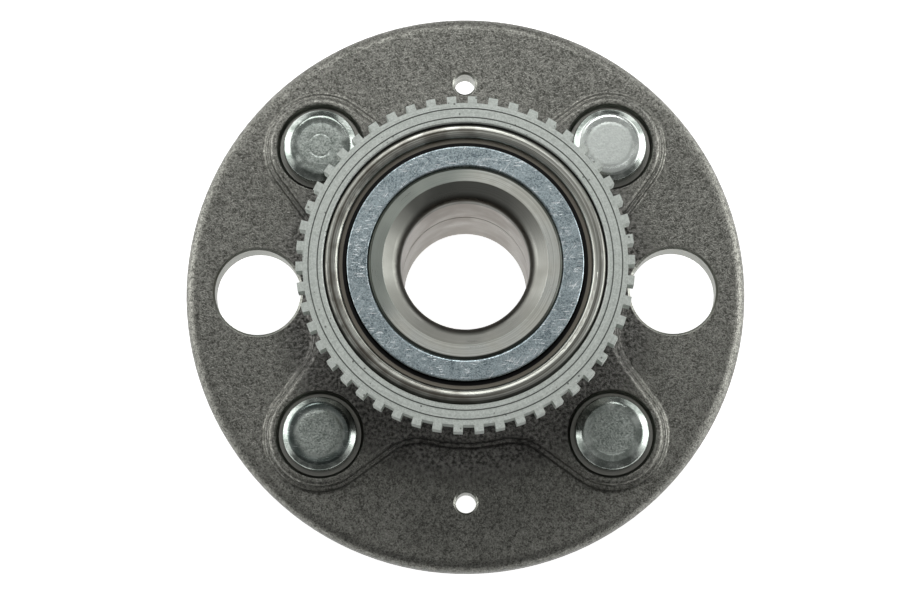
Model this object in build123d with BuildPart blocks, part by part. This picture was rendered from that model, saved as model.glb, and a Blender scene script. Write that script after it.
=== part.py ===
"""Rear wheel hub bearing with a turning, flanged outer ring.

The unit slides onto a fixed spindle. Two inner rings sit back to back on the spindle. The
hub turns about them on two rows of angular contact balls, each row in its own cage, and a
two-piece seal closes each end. The hub's flange carries four wheel studs, and a toothed
wheel speed ring is pressed on the barrel's inboard end.

Millimetres. +Z is the spindle axis and points inboard. The origin is the centre of the face
that the brake disc rests on.
"""
import os
from math import acos, cos, radians, sin, sqrt, tan

from build123d import *

os.makedirs("parts", exist_ok=True)

# ---- Flange ----
flange_t = 9.0
rim_land = 4.9              # rim of the flange outside the bosses
rim_round = 3.0             # inboard corner of the rim
rim_chamfer = 0.6           # outboard corner of the rim

# ---- Wheel studs, M12 ----
stud_count = 4
stud_circle_d = 100.0
first_stud_angle = 45.0
thread_d = 12.0
stud_reach = 33.0           # from the disc face to the stud's tip
knurl_h = 0.3               # how far the press knurl stands over the thread
tip_chamfer = 1.4
head_d = 18.0
head_t = 5.0
head_chamfer_w = 1.8
head_chamfer_h = 1.3

# ---- Forged pad: four bosses and their arms round the barrel, with a step round its edge ----
pad_h = 3.5
pad_step_h = 1.5            # height of the step's ledge
pad_step_w = 1.0            # from the foot of the pad to its upper wall
spotface_gap = 1.5          # round the stud's head
spotface_depth = 2.0
boss_wall = 3.1             # round the spotface, at the flange's face
arm_root_d = 42.6           # circle on the axis that the arms' straight sides run to
arm_flare_r = 11.0
pad_ledge = 4.6             # pad round the barrel, between the arms
pad_edge_r = 1.2
pad_step_r = 0.55           # outer edge of the step
pad_crease_r = 0.3
pad_foot_r = 0.8
spotface_round_share = 0.09 # of the room between barrel and spotface
barrel_foot_share = 0.4     # of the same room

# ---- Other holes in the flange ----
access_hole_d = 21.0
access_hole_gap = 0.4       # flat between the pad's foot and the hole's chamfer
screw_hole_d = 5.0          # core of the M6 thread for the disc's holding screws
screw_circle_d = 103.5
hole_chamfer = 0.5

# ---- Bearing, from the spindle outwards ----
spindle_d = 30.0            # bore of the inner rings
groove_wall = 3.379         # inner ring under its groove
ball_d = 9.525
ball_count = 13
contact_angle = 40.0
inner_conformity = 0.52     # groove radius over ball diameter
outer_conformity = 0.525
inner_shoulder = 0.443      # height of the inner ring's land over the ball diameter
outer_shoulder = 0.361      # height of the hub's ridge over the ball diameter
ball_play = 0.03            # between a ball and each groove at the contact
row_offset = 10.5           # ball centres from the joint of the inner rings
ring_edge_chamfer = 0.55
spindle_mouth_w = 4.2       # cone and round together, clear of the spindle's fillet
spindle_mouth_angle = 30.0  # of the cone, from the ring's end face
spindle_corner_r = 3.8      # where the cone meets the bore
nut_side_chamfer = 0.8
seam_chamfer = 0.4
nut_face_z = 3.5            # outboard end of the inner rings, above the disc face

# ---- Ball cages ----
cage_land_gap = 0.5         # from the inner ring's land to the cage
cage_wall = 3.5             # radial
cage_lead = 1.5             # how far the prongs reach past the ball centres
cage_back = 1.8             # web behind the balls
cage_seal_gap = 1.3375       # from the cage to the seal
pocket_play = 0.1
cage_edge_chamfer = 0.4

# ---- Seals ----
seal_step = {"inboard": 1.25, "outboard": 0.25}     # seat's radius over the groove's
seal_depth = 7.0            # from the inner ring's end to the seat's shoulder
case_t = 0.8
case_h = 4.7
case_land_gap = 1.4         # from the inner ring's land to the case
slinger_t = 0.8
slinger_drop = 0.2          # below the end face of the inner ring
slinger_rim_gap = 1.8       # from the seat to the slinger's rim
slinger_bend_r = 0.5
slinger_rim_r = 0.35        # rolled edge of the rim
sleeve_h = 3.2              # slinger's sleeve, below its flange
rubber_t = 0.75
rim_rubber_h = 0.45         # rubber bead over the case's edge
lip_t = 0.4
lip_rise = 1.0              # sleeve lip's tip above the rubber's floor
lip_play = 0.08             # between the lips and the slinger

# ---- Pilot that centres the brake disc, and the dust cap's seat inside it ----
cap_step = 0.4              # cap seat's radius over the outboard seal seat's
cap_seat_z = 3.0            # floor of the cap's seat, above the disc face
cap_seat_chamfer = 0.6
pilot_wall = 1.8
pilot_len = 8.0
pilot_chamfer = 1.0
relief_w = 2.0              # undercut in the disc face round the pilot
relief_depth = 0.5

# ---- Barrel ----
barrel_end_wall = 3.7       # round the inboard seal's seat
barrel_step = 1.0           # shoulder that the speed ring stops on
barrel_drop = 0.2           # barrel's end below the bearing's inboard face
barrel_end_round = 1.5

# ---- Wheel speed ring ----
tooth_count = 50
tooth_h = 1.6
tooth_w = 2.15
first_tooth_angle = 1.0
speed_ring_wall = 4.7       # from the barrel to the foot of the teeth
speed_ring_w = 6.0
speed_ring_drop = 0.3       # ring's face below the bearing's inboard face
speed_ring_chamfer = 0.3
inner_line_inset = 1.3      # turned lines in the ring's face, from its bore and its root
outer_line_inset = 1.3
face_line_w = 0.3
face_line_depth = 0.2

# ---- Grooves ----
# Centres are (radius, height from the rings' joint). The balls touch the inner ring on the side
# towards the unit's end, and the hub on the side towards the joint.
ball_r = ball_d / 2
inner_groove_r = inner_conformity * ball_d
outer_groove_r = outer_conformity * ball_d
inner_shift = inner_groove_r - ball_r - ball_play
outer_shift = outer_groove_r - ball_r - ball_play
shift_r = cos(radians(contact_angle))
shift_h = sin(radians(contact_angle))
inner_floor_r = spindle_d / 2 + groove_wall
pitch_r = inner_floor_r + inner_groove_r - inner_shift * shift_r
inner_centre = (pitch_r + inner_shift * shift_r, row_offset - inner_shift * shift_h)
outer_centre = (pitch_r - outer_shift * shift_r, row_offset + outer_shift * shift_h)
outer_floor_r = outer_centre[0] + outer_groove_r
land_r = inner_floor_r + inner_shoulder * ball_d
ridge_r = outer_floor_r - outer_shoulder * ball_d

# Width and depth of the mouth at each ring's end.
ring_mouth = {
    "inboard": (spindle_mouth_w, spindle_mouth_w * tan(radians(spindle_mouth_angle))),
    "outboard": (nut_side_chamfer, nut_side_chamfer),
}

# ---- Heights from the rings' joint ----
pocket_r = ball_r + pocket_play
cage_back_h = row_offset + pocket_r + cage_back
seal_floor = cage_back_h + cage_seal_gap
ring_w = seal_floor + seal_depth
slinger_top = ring_w - slinger_drop
slinger_low = slinger_top - slinger_t
case_top = seal_floor + case_h

# ---- Heights from the disc face ----
joint_z = nut_face_z + ring_w
bearing_end_z = joint_z + ring_w
pad_top_z = flange_t + pad_h
spotface_z = pad_top_z - spotface_depth
pad_ledge_z = flange_t + pad_step_h
barrel_end_z = bearing_end_z - barrel_drop
speed_ring_z = bearing_end_z - speed_ring_drop
speed_ring_back_z = speed_ring_z - speed_ring_w

# ---- Radii ----
seat_r = {row: outer_floor_r + step for row, step in seal_step.items()}
cap_seat_r = seat_r["outboard"] + cap_step
pilot_r = cap_seat_r + pilot_wall
barrel_seat_r = seat_r["inboard"] + barrel_end_wall
barrel_r = barrel_seat_r + barrel_step
tooth_root_r = barrel_seat_r + speed_ring_wall
tooth_tip_r = tooth_root_r + tooth_h
pad_hub_r = barrel_r + pad_ledge
stud_circle_r = stud_circle_d / 2
spotface_r = head_d / 2 + spotface_gap
boss_r = spotface_r + boss_wall
barrel_room = stud_circle_r - spotface_r - barrel_r
barrel_foot_r = barrel_foot_share * barrel_room
spotface_round = spotface_round_share * barrel_room
knurl_r = thread_d / 2 + knurl_h
flange_r = stud_circle_r + boss_r + rim_land
access_hole_r = access_hole_d / 2
access_circle_r = pad_hub_r + pad_foot_r + access_hole_gap + hole_chamfer + access_hole_r
screw_hole_r = screw_hole_d / 2
sides = {"inboard": 1, "outboard": -1}
near = 0.01                 # tolerance for picking edges and faces by their place


def arc_end(centre, groove_r, radius, towards):
    """Point of a groove where its arc reaches a radius, above or below the centre."""
    return (radius, centre[1] + towards * sqrt(groove_r**2 - (radius - centre[0]) ** 2))


def arc_middle(start, end, centre, groove_r):
    """Point of a groove half way along its arc between two of its points."""
    across = (start[0] + end[0]) / 2 - centre[0]
    along = (start[1] + end[1]) / 2 - centre[1]
    reach = groove_r / sqrt(across**2 + along**2)
    return (centre[0] + across * reach, centre[1] + along * reach)


def placed(point, side):
    """Turn (radius, height from the joint) into (radius, z) on one side of the joint."""
    return (point[0], joint_z + side * point[1])


def corner_at(section, radius, z):
    """Corner of a half-section nearest to a point."""
    return section.vertices().sort_by_distance((radius, z, 0))[0]


def around(radius, angle, z=0.0):
    """Point on a circle about the spindle axis."""
    return (radius * cos(radians(angle)), radius * sin(radians(angle)), z)


# ---- Hub: flange, barrel, pilot and both outer grooves in one piece ----
groove_land = arc_end(outer_centre, outer_groove_r, ridge_r, -1)
groove_floor = (outer_floor_r, outer_centre[1])
groove_middle = arc_middle(groove_land, groove_floor, outer_centre, outer_groove_r)



def draw_pad(inset):
    """Draw the pad's outline in the sketch that is open, moved inwards by an inset.

    The arms' straight sides touch the boss and a circle on the axis.
    """
    boss, root, hub = boss_r - inset, arm_root_d / 2 - inset, pad_hub_r - inset
    lean = acos((root - boss) / stud_circle_r)
    root_x, root_y = root * cos(lean), root * sin(lean)
    boss_x, boss_y = stud_circle_r + boss * cos(lean), boss * sin(lean)
    Circle(hub)
    with PolarLocations(stud_circle_r, stud_count, first_stud_angle):
        Circle(boss)
    with PolarLocations(0, stud_count, first_stud_angle):
        arm = ((root_x, -root_y), (boss_x, -boss_y), (boss_x, boss_y), (root_x, root_y))
        Polygon(*arm, align=None)


def flare_corners(outline, inset):
    """Corners of the pad's outline where an arm meets the round centre."""
    return outline.vertices().filter_by(
        lambda corner: abs(sqrt(corner.X**2 + corner.Y**2) - pad_hub_r + inset) < near
    )


def level_face(part, z):
    """Largest face of a part that lies at a height."""
    return part.faces().filter_by_position(Axis.Z, z - near, z + near).sort_by(SortBy.AREA)[-1]


with BuildPart() as hub_flange:
    # Forging: barrel, flange disc and pilot, still solid inside
    with BuildSketch(Plane.XZ) as forging_section:
        with BuildLine():
            Polyline(
                (0, barrel_end_z),
                (barrel_seat_r, barrel_end_z),
                (barrel_seat_r, speed_ring_back_z),
                (barrel_r, speed_ring_back_z),
                (barrel_r, flange_t),
                (flange_r, flange_t),
                (flange_r, 0),
                (pilot_r + relief_w, 0),
                (pilot_r + relief_w, relief_depth),
                (pilot_r, relief_depth),
                (pilot_r, -pilot_len),
                (0, -pilot_len),
                close=True,
            )
        make_face()
        fillet(corner_at(forging_section, barrel_seat_r, barrel_end_z), barrel_end_round)
        fillet(corner_at(forging_section, flange_r, flange_t), rim_round)
        chamfer(corner_at(forging_section, flange_r, 0), rim_chamfer)
        chamfer(corner_at(forging_section, pilot_r, -pilot_len), pilot_chamfer)
    revolve(axis=Axis.Z)

    # Pad: four bosses, each joined to a round centre by an arm that widens inwards
    with BuildSketch(Plane.XY.offset(flange_t)) as pad_outline:
        draw_pad(0)
        fillet(flare_corners(pad_outline, 0), arm_flare_r)
    extrude(amount=pad_step_h)
    fillet(level_face(hub_flange, flange_t).inner_wires()[0].edges(), pad_foot_r)
    fillet(level_face(hub_flange, pad_ledge_z).outer_wire().edges(), pad_step_r)
    with BuildSketch(Plane.XY.offset(pad_ledge_z)) as upper_outline:
        draw_pad(pad_step_w)
        fillet(flare_corners(upper_outline, pad_step_w), arm_flare_r + pad_step_w)
    extrude(amount=pad_h - pad_step_h)
    fillet(level_face(hub_flange, pad_ledge_z).inner_wires()[0].edges(), pad_crease_r)
    fillet(level_face(hub_flange, pad_top_z).outer_wire().edges(), pad_edge_r)
    fillet(level_face(hub_flange, pad_top_z).inner_wires()[0].edges(), barrel_foot_r)

    # Bore: dust cap's seat, seal seats and the two grooves with the shoulder between them
    with BuildSketch(Plane.XZ) as bore_section:
        with BuildLine():
            outboard_bore = Polyline(
                (0, -pilot_len),
                (cap_seat_r, -pilot_len),
                (cap_seat_r, cap_seat_z),
                (seat_r["outboard"], cap_seat_z),
                (seat_r["outboard"], joint_z - seal_floor),
                (outer_floor_r, joint_z - seal_floor),
                placed(groove_floor, -1),
            )
            ThreePointArc(outboard_bore @ 1, placed(groove_middle, -1), placed(groove_land, -1))
            Line(placed(groove_land, -1), placed(groove_land, 1))
            ThreePointArc(placed(groove_land, 1), placed(groove_middle, 1), placed(groove_floor, 1))
            Polyline(
                placed(groove_floor, 1),
                (outer_floor_r, joint_z + seal_floor),
                (seat_r["inboard"], joint_z + seal_floor),
                (seat_r["inboard"], barrel_end_z),
                (0, barrel_end_z),
                (0, -pilot_len),
            )
        make_face()
    revolve(axis=Axis.Z, mode=Mode.SUBTRACT)
    mouth_edges = hub_flange.edges().filter_by(GeomType.CIRCLE)
    inboard_mouth = mouth_edges.filter_by_position(Axis.Z, barrel_end_z - near, barrel_end_z + near)
    fillet(inboard_mouth.sort_by(SortBy.RADIUS)[0], barrel_end_round)
    cap_mouth = mouth_edges.filter_by_position(Axis.Z, -pilot_len - near, -pilot_len + near)
    chamfer(cap_mouth.sort_by(SortBy.RADIUS)[0], cap_seat_chamfer)

    # Spotfaces and press holes for the studs
    with BuildSketch(Plane.XY.offset(spotface_z)):
        with PolarLocations(stud_circle_r, stud_count, first_stud_angle):
            Circle(spotface_r)
    extrude(amount=spotface_depth, mode=Mode.SUBTRACT)
    spotface_rims = hub_flange.edges().filter_by(
        lambda edge: edge.geom_type == GeomType.CIRCLE
        and abs(edge.radius - spotface_r) < near
        and abs(edge.center().Z - pad_top_z) < near
    )
    fillet(spotface_rims, spotface_round)
    with BuildSketch(Plane.XY):
        with PolarLocations(stud_circle_r, stud_count, first_stud_angle):
            Circle(knurl_r)
    extrude(amount=spotface_z, mode=Mode.SUBTRACT)

    # Access holes on X, threaded holes for the disc's screws on Y
    with BuildSketch(Plane.XY):
        with PolarLocations(access_circle_r, 2, 0):
            Circle(access_hole_r)
        with PolarLocations(screw_circle_d / 2, 2, 90):
            Circle(screw_hole_r)
    extrude(amount=flange_t, mode=Mode.SUBTRACT)
    hole_rims = hub_flange.edges().filter_by(
        lambda edge: edge.geom_type == GeomType.CIRCLE
        and min(abs(edge.radius - access_hole_r), abs(edge.radius - screw_hole_r)) < near
    )
    chamfer(hole_rims, hole_chamfer)

hub_flange.part.label = "hub_flange"
export_step(hub_flange.part, "parts/hub_flange.step")

# ---- Wheel studs: head on the spotface, knurl in the flange, thread outboard ----
for number in range(stud_count):
    stud_x, stud_y, _ = around(stud_circle_r, first_stud_angle + 360 / stud_count * number)
    stud_plane = Plane(origin=(stud_x, stud_y, 0), x_dir=(1, 0, 0), z_dir=(0, -1, 0))
    with BuildPart() as wheel_stud:
        with BuildSketch(stud_plane) as stud_section:
            with BuildLine():
                Polyline(
                    (0, -stud_reach),
                    (thread_d / 2, -stud_reach),
                    (thread_d / 2, 0),
                    (knurl_r, 0),
                    (knurl_r, spotface_z),
                    (head_d / 2, spotface_z),
                    (head_d / 2, spotface_z + head_t - head_chamfer_h),
                    (head_d / 2 - head_chamfer_w, spotface_z + head_t),
                    (0, spotface_z + head_t),
                    close=True,
                )
            make_face()
            chamfer(corner_at(stud_section, thread_d / 2, -stud_reach), tip_chamfer)
        revolve(axis=Axis((stud_x, stud_y, 0), (0, 0, 1)))
    stud_name = f"wheel_stud_{number + 1}"
    wheel_stud.part.label = stud_name
    export_step(wheel_stud.part, f"parts/{stud_name}.step")

# ---- Wheel speed ring: turned ring with square teeth ----
with BuildPart() as speed_ring:
    with BuildSketch(Plane.XZ) as speed_ring_section:
        with BuildLine():
            Polyline(
                (barrel_seat_r, speed_ring_back_z),
                (tooth_root_r, speed_ring_back_z),
                (tooth_root_r, speed_ring_z),
                (barrel_seat_r, speed_ring_z),
                close=True,
            )
        make_face()
        chamfer(corner_at(speed_ring_section, barrel_seat_r, speed_ring_z), speed_ring_chamfer)
        inner_line = (barrel_seat_r + inner_line_inset, speed_ring_z)
        outer_line = (tooth_root_r - outer_line_inset, speed_ring_z)
        with Locations(inner_line, outer_line):
            Rectangle(face_line_w, 2 * face_line_depth, mode=Mode.SUBTRACT)
    revolve(axis=Axis.Z)
    with BuildSketch(Plane.XY.offset(speed_ring_back_z)):
        with PolarLocations(0, tooth_count, first_tooth_angle):
            Rectangle(tooth_tip_r, tooth_w, align=(Align.MIN, Align.CENTER))
        Circle(tooth_tip_r, mode=Mode.INTERSECT)
        Circle(tooth_root_r - speed_ring_chamfer, mode=Mode.SUBTRACT)
    extrude(amount=speed_ring_w)
speed_ring.part.label = "speed_ring"
export_step(speed_ring.part, "parts/speed_ring.step")

# ---- Bearing rows, each built from the joint between the inner rings outwards ----
inner_land = arc_end(inner_centre, inner_groove_r, land_r, 1)
inner_floor = (inner_floor_r, inner_centre[1])
inner_middle = arc_middle(inner_land, inner_floor, inner_centre, inner_groove_r)
cage_r = land_r + cage_land_gap

for row, side in sides.items():
    # Inner ring: bore on the spindle, groove, and a land that carries the slinger
    mouth_w, mouth_h = ring_mouth[row]
    with BuildPart() as inner_ring:
        with BuildSketch(Plane.XZ) as ring_section:
            with BuildLine():
                Polyline(
                    placed(inner_floor, side),
                    placed((inner_floor_r, 0), side),
                    placed((spindle_d / 2, 0), side),
                    placed((spindle_d / 2, ring_w - mouth_h), side),
                    placed((spindle_d / 2 + mouth_w, ring_w), side),
                    placed((land_r, ring_w), side),
                    placed(inner_land, side),
                )
                ThreePointArc(
                    placed(inner_land, side), placed(inner_middle, side), placed(inner_floor, side)
                )
            make_face()
            chamfer(corner_at(ring_section, land_r, joint_z + side * ring_w), ring_edge_chamfer)
            chamfer(corner_at(ring_section, spindle_d / 2, joint_z), seam_chamfer)
            if row == "inboard":
                fillet(corner_at(ring_section, spindle_d / 2, bearing_end_z - mouth_h), spindle_corner_r)
        revolve(axis=Axis.Z)
    inner_ring.part.label = f"inner_ring_{row}"
    export_step(inner_ring.part, f"parts/inner_ring_{row}.step")

    # Balls, evenly spaced on the pitch circle
    for number in range(ball_count):
        ball_centre = around(pitch_r, 360 / ball_count * number, joint_z + side * row_offset)
        with BuildPart(Plane(origin=ball_centre)) as ball:
            Sphere(ball_r)
        ball_name = f"ball_{row}_{number + 1:02d}"
        ball.part.label = ball_name
        export_step(ball.part, f"parts/{ball_name}.step")

    # Crown cage: a ring behind the balls with prongs that close round them
    with BuildPart() as cage:
        with BuildSketch(Plane.XZ) as cage_section:
            with BuildLine():
                Polyline(
                    placed((cage_r, row_offset - cage_lead), side),
                    placed((cage_r + cage_wall, row_offset - cage_lead), side),
                    placed((cage_r + cage_wall, cage_back_h), side),
                    placed((cage_r, cage_back_h), side),
                    close=True,
                )
            make_face()
            chamfer(
                [
                    corner_at(cage_section, cage_r, joint_z + side * cage_back_h),
                    corner_at(cage_section, cage_r + cage_wall, joint_z + side * cage_back_h),
                ],
                cage_edge_chamfer,
            )
        revolve(axis=Axis.Z)
        with Locations(Plane.XY.offset(joint_z + side * row_offset)):
            with PolarLocations(pitch_r, ball_count):
                Sphere(pocket_r, rotation=(0, 90, 0), mode=Mode.SUBTRACT)
    cage.part.label = f"cage_{row}"
    export_step(cage.part, f"parts/cage_{row}.step")

    # Slinger: thin sheet pressed on the inner ring, its flange closing the seal
    with BuildPart() as slinger:
        with BuildSketch(Plane.XZ) as slinger_section:
            with BuildLine():
                Polyline(
                    placed((land_r, slinger_top), side),
                    placed((seat_r[row] - slinger_rim_gap, slinger_top), side),
                    placed((seat_r[row] - slinger_rim_gap, slinger_low), side),
                    placed((land_r + slinger_t, slinger_low), side),
                    placed((land_r + slinger_t, slinger_low - sleeve_h), side),
                    placed((land_r, slinger_low - sleeve_h), side),
                    close=True,
                )
            make_face()
            slinger_face = joint_z + side * slinger_top
            fillet(corner_at(slinger_section, land_r, slinger_face), slinger_bend_r)
            fillet(corner_at(slinger_section, seat_r[row] - slinger_rim_gap, slinger_face), slinger_rim_r)
        revolve(axis=Axis.Z)
    slinger.part.label = f"slinger_{row}"
    export_step(slinger.part, f"parts/slinger_{row}.step")

    # Seal case: angle-section ring pressed into the hub
    case_r = seat_r[row] - case_t
    case_leg_r = land_r + case_land_gap
    with BuildPart() as seal_case:
        with BuildSketch(Plane.XZ):
            with BuildLine():
                Polyline(
                    placed((case_leg_r, seal_floor), side),
                    placed((seat_r[row], seal_floor), side),
                    placed((seat_r[row], case_top), side),
                    placed((case_r, case_top), side),
                    placed((case_r, seal_floor + case_t), side),
                    placed((case_leg_r, seal_floor + case_t), side),
                    close=True,
                )
            make_face()
        revolve(axis=Axis.Z)
    seal_case.part.label = f"seal_case_{row}"
    export_step(seal_case.part, f"parts/seal_case_{row}.step")

    # Rubber bonded inside the case: a bead over its edge and two lips at the slinger
    rubber_r = case_r - rubber_t
    rubber_floor = seal_floor + case_t + rubber_t
    sleeve_lip_r = land_r + slinger_t + lip_play
    face_lip_h = slinger_low - lip_play
    face_lip_r = (rubber_r + case_leg_r) / 2
    with BuildPart() as seal_rubber:
        with BuildSketch(Plane.XZ):
            with BuildLine():
                Polyline(
                    placed((case_leg_r, seal_floor + case_t), side),
                    placed((case_r, seal_floor + case_t), side),
                    placed((case_r, case_top), side),
                    placed((seat_r[row], case_top), side),
                    placed((seat_r[row], case_top + rim_rubber_h), side),
                    placed((rubber_r, case_top + rim_rubber_h), side),
                    placed((rubber_r, rubber_floor), side),
                    placed((face_lip_r + lip_t, rubber_floor), side),
                    placed((face_lip_r, face_lip_h), side),
                    placed((face_lip_r - lip_t, face_lip_h), side),
                    placed((face_lip_r - lip_t, rubber_floor), side),
                    placed((case_leg_r + lip_t, rubber_floor), side),
                    placed((sleeve_lip_r, rubber_floor + lip_rise), side),
                    placed((sleeve_lip_r, rubber_floor + lip_rise - lip_t), side),
                    placed((case_leg_r, rubber_floor - lip_t), side),
                    close=True,
                )
            make_face()
        revolve(axis=Axis.Z)
    seal_rubber.part.label = f"seal_rubber_{row}"
    export_step(seal_rubber.part, f"parts/seal_rubber_{row}.step")
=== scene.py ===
"""Finished look of a wheel hub bearing: forged flange hub, studs, speed ring, seals and rings.

Metres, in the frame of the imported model: +Z is the spindle axis and points inboard.
"""
import logging
from dataclasses import dataclass, field
from enum import Enum
from typing import Sequence

import bpy
import numpy as np
from mathutils import Matrix, Vector


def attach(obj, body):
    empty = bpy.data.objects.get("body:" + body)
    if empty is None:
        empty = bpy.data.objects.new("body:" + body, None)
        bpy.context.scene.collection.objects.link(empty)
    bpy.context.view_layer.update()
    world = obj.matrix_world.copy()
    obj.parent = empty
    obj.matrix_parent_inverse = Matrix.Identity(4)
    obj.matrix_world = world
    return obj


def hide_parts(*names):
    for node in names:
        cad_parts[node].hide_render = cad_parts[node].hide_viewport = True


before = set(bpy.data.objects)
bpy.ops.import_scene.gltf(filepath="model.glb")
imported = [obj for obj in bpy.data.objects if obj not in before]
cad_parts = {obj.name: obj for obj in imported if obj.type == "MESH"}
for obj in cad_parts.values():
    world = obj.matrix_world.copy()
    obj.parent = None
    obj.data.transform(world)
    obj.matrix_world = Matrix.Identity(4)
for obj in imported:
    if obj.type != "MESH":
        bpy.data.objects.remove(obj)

logging.basicConfig(level=logging.INFO, format="%(message)s")
log = logging.getLogger("wheel_hub")

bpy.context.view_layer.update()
MM = 0.001

Socket = bpy.types.NodeSocket
Colour = tuple[float, float, float]


def srgb(red: float, green: float, blue: float) -> Colour:
    """Turn an 8-bit screen colour into linear light.

    Args:
        red: Red, from 0 to 255.
        green: Green, from 0 to 255.
        blue: Blue, from 0 to 255.

    Returns:
        The linear colour.
    """
    shares = np.array((red, green, blue)) / 255
    linear = np.where(shares <= 0.04045, shares / 12.92, ((shares + 0.055) / 1.055) ** 2.4)
    return tuple(float(value) for value in linear)


@dataclass(frozen=True)
class Tint:
    """A colour, and how much of it a full mask lays on."""

    colour: Colour
    share: float


# ---------------------------------------------------------------- shader nodes


class Graph:
    """Writes the nodes of one shader tree."""

    def __init__(self, tree: bpy.types.NodeTree) -> None:
        """Take the tree that the nodes go into."""
        self.tree = tree

    def node(self, kind: str, **settings: object) -> bpy.types.Node:
        """Add a node.

        Args:
            kind: Node type without its ShaderNode prefix, or a whole type name.
            settings: Properties of the node.

        Returns:
            The new node.
        """
        name = kind if kind.startswith("Node") else "ShaderNode" + kind
        new = self.tree.nodes.new(name)
        for key, value in settings.items():
            setattr(new, key, value)
        return new

    def feed(self, target: Socket, value: object) -> None:
        """Join a socket to a target, or set the target to a plain value.

        Args:
            target: The input that takes the value.
            value: A socket, a number, a colour or a vector.
        """
        if isinstance(value, Socket):
            self.tree.links.new(value, target)
        elif isinstance(value, tuple) and len(value) == 3 and target.type == "RGBA":
            target.default_value = (*value, 1.0)
        else:
            target.default_value = value

    def math(self, operation: str, *values: object) -> Socket:
        """Put a Math node on up to three values.

        Args:
            operation: Blender's name of the operation.
            values: Sockets or numbers.

        Returns:
            The result.
        """
        new = self.node("Math", operation=operation)
        for target, value in zip(new.inputs, values):
            self.feed(target, value)
        return new.outputs[0]

    def times(self, first: object, second: object) -> Socket:
        """Return a product."""
        return self.math("MULTIPLY", first, second)

    def vector(self, operation: str, *values: object) -> bpy.types.Node:
        """Put a Vector Math node on up to two values.

        Args:
            operation: Blender's name of the operation.
            values: Sockets or vectors.

        Returns:
            The node.
        """
        new = self.node("VectorMath", operation=operation)
        for target, value in zip(new.inputs, values):
            self.feed(target, value)
        return new

    def split(self, vector: Socket) -> tuple[Socket, ...]:
        """Take a vector apart.

        Args:
            vector: The vector.

        Returns:
            Its three parts.
        """
        new = self.node("SeparateXYZ")
        self.feed(new.inputs[0], vector)
        return tuple(new.outputs)

    def step(
        self, value: Socket, low: float, high: float, start: float = 0.0, end: float = 1.0
    ) -> Socket:
        """Ease from start to end while the value goes from low to high.

        Args:
            value: The measured value.
            low: Where the change starts.
            high: Where the change ends.
            start: Result below low.
            end: Result above high.

        Returns:
            The eased result.
        """
        new = self.node("MapRange", interpolation_type="SMOOTHSTEP")
        for name, setting in zip(
            ("Value", "From Min", "From Max", "To Min", "To Max"), (value, low, high, start, end)
        ):
            self.feed(new.inputs[name], setting)
        return new.outputs["Result"]

    def within(self, value: Socket, reach: float, edge: float = 0.1) -> Socket:
        """Return 1 while a value is under a reach, with a soft edge inside it."""
        return self.step(value, reach - edge, reach, 1.0, 0.0)

    def window(self, value: Socket, low: float, high: float, soft: float) -> Socket:
        """Tell whether a value lies between low and high, with soft ends.

        Args:
            value: The measured value.
            low: Middle of the rise.
            high: Middle of the fall.
            soft: Half the width of the rise and of the fall.

        Returns:
            1 inside and 0 outside.
        """
        rise = self.step(value, low - soft, low + soft)
        fall = self.step(value, high - soft, high + soft, 1.0, 0.0)
        return self.times(rise, fall)

    def mix(self, share: object, first: object, second: object) -> Socket:
        """Mix two colours.

        Args:
            share: Share of the second.
            first: The colour at 0.
            second: The colour at 1.

        Returns:
            The mixed colour.
        """
        new = self.node("Mix", data_type="RGBA")
        self.feed(new.inputs[0], share)
        self.feed(new.inputs[6], first)
        self.feed(new.inputs[7], second)
        return new.outputs[2]

    def tint(self, mask: Socket, base: object, tint: Tint) -> Socket:
        """Lay a tint on a base colour where a mask is 1."""
        return self.mix(self.times(mask, tint.share), base, tint.colour)

    def blend(self, share: object, first: object, second: object) -> Socket:
        """Mix two numbers.

        Args:
            share: Share of the second.
            first: The number at 0.
            second: The number at 1.

        Returns:
            The mixed number.
        """
        new = self.node("Mix", data_type="FLOAT")
        self.feed(new.inputs[0], share)
        self.feed(new.inputs[2], first)
        self.feed(new.inputs[3], second)
        return new.outputs[0]

    def noise(self, vector: Socket, scale: float, detail: float = 2.0, rough: float = 0.5) -> Socket:
        """Put a noise texture on a place.

        Args:
            vector: The place.
            scale: Lumps to a unit of length.
            detail: How many finer layers it has.
            rough: Weight of the finer layers.

        Returns:
            Its value, from 0 to 1.
        """
        new = self.node("TexNoise", noise_dimensions="3D")
        self.feed(new.inputs["Vector"], vector)
        self.feed(new.inputs["Scale"], scale)
        self.feed(new.inputs["Detail"], detail)
        self.feed(new.inputs["Roughness"], rough)
        return new.outputs["Fac"]

    def group(self, tree: bpy.types.NodeTree, **inputs: object) -> bpy.types.Node:
        """Place a node group.

        Args:
            tree: The group's tree.
            inputs: Its inputs, with _ for each space in a name.

        Returns:
            The group's node.
        """
        new = self.node("Group", node_tree=tree)
        for name, value in inputs.items():
            self.feed(new.inputs[name.replace("_", " ")], value)
        return new

    def place(self, tree: bpy.types.NodeTree) -> dict[str, Socket]:
        """Return point, radius, height and angle of the place, in millimetres and radians."""
        return self.group(tree, Coordinates=self.node("TexCoord").outputs["Object"]).outputs

    def away(self, point: Socket, x: float, y: float) -> Socket:
        """Measure how far a point is from the Z axis at (x, y) or the nearest of its mirror images.

        It is the length of the flat part of the difference between the point, folded into the
        first quarter, and (x, y).

        Args:
            point: The point, in millimetres.
            x: The axis's place across, not below 0.
            y: The axis's place along, not below 0.

        Returns:
            The distance, in millimetres.
        """
        folded = self.vector("ABSOLUTE", point).outputs[0]
        offset = self.vector("SUBTRACT", folded, (x, y, 0.0)).outputs[0]
        flat = self.vector("MULTIPLY", offset, (1.0, 1.0, 0.0)).outputs[0]
        return self.vector("LENGTH", flat).outputs["Value"]

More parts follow.
